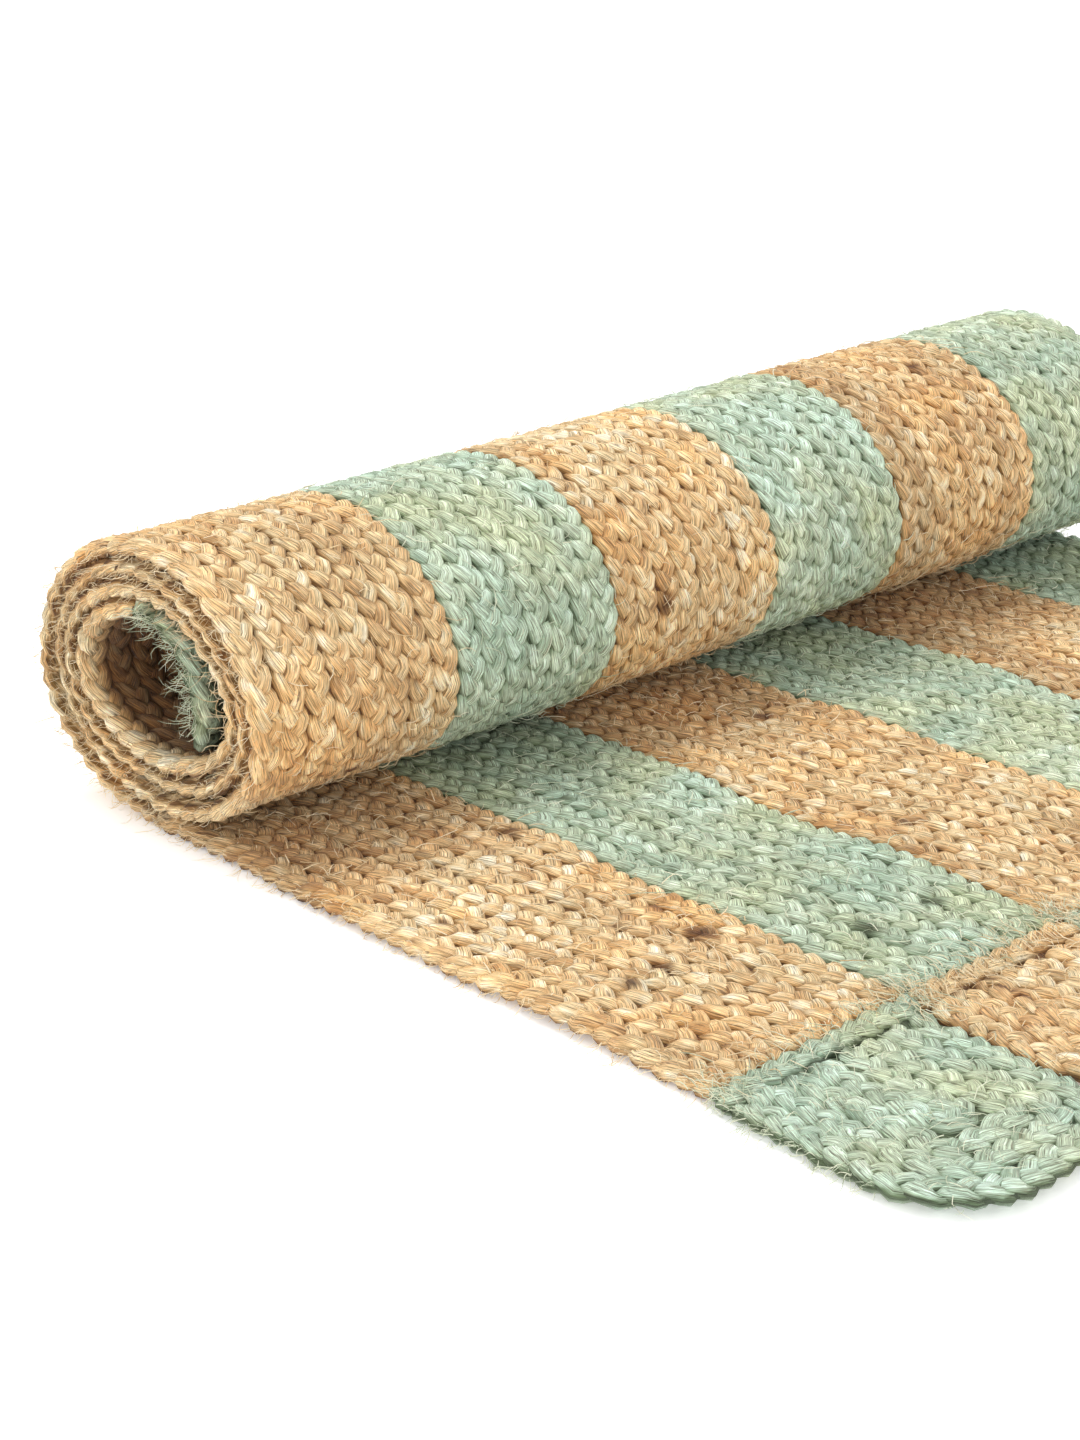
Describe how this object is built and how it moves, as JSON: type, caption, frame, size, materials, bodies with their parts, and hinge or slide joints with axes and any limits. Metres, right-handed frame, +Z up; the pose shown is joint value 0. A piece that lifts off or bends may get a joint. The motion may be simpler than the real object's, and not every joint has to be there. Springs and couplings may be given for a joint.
{
  "type": "jute runner rug",
  "caption": "Braided jute runner rug in natural and green stripes with short sewn end tabs, its far end wound into a loose roll on its flat run.",
  "frame": {"origin": "under the middle of the rug's box, on the surface that it lies on", "axes": "+X along the roll, across the stripes; the flat run lies towards -Y; +Z up"},
  "size_m": [0.6076, 0.5238, 0.1279],
  "materials": {
    "jute_natural": "matte plaited jute",
    "jute_green": "matte plaited dyed jute"
  },
  "bodies": {
    "root": {"stripe_1": "jute_natural", "flat_tab_1": "jute_green", "wound_tab_1": "jute_green", "stripe_2": "jute_green", "flat_tab_2": "jute_natural", "wound_tab_2": "jute_natural", "stripe_3": "jute_natural", "flat_tab_3": "jute_green", "wound_tab_3": "jute_green", "stripe_4": "jute_green", "flat_tab_4": "jute_natural", "wound_tab_4": "jute_natural", "stripe_5": "jute_natural", "flat_tab_5": "jute_green", "wound_tab_5": "jute_green", "stripe_6": "jute_green", "flat_tab_6": "jute_natural", "wound_tab_6": "jute_natural"}
  },
  "joints": []
}
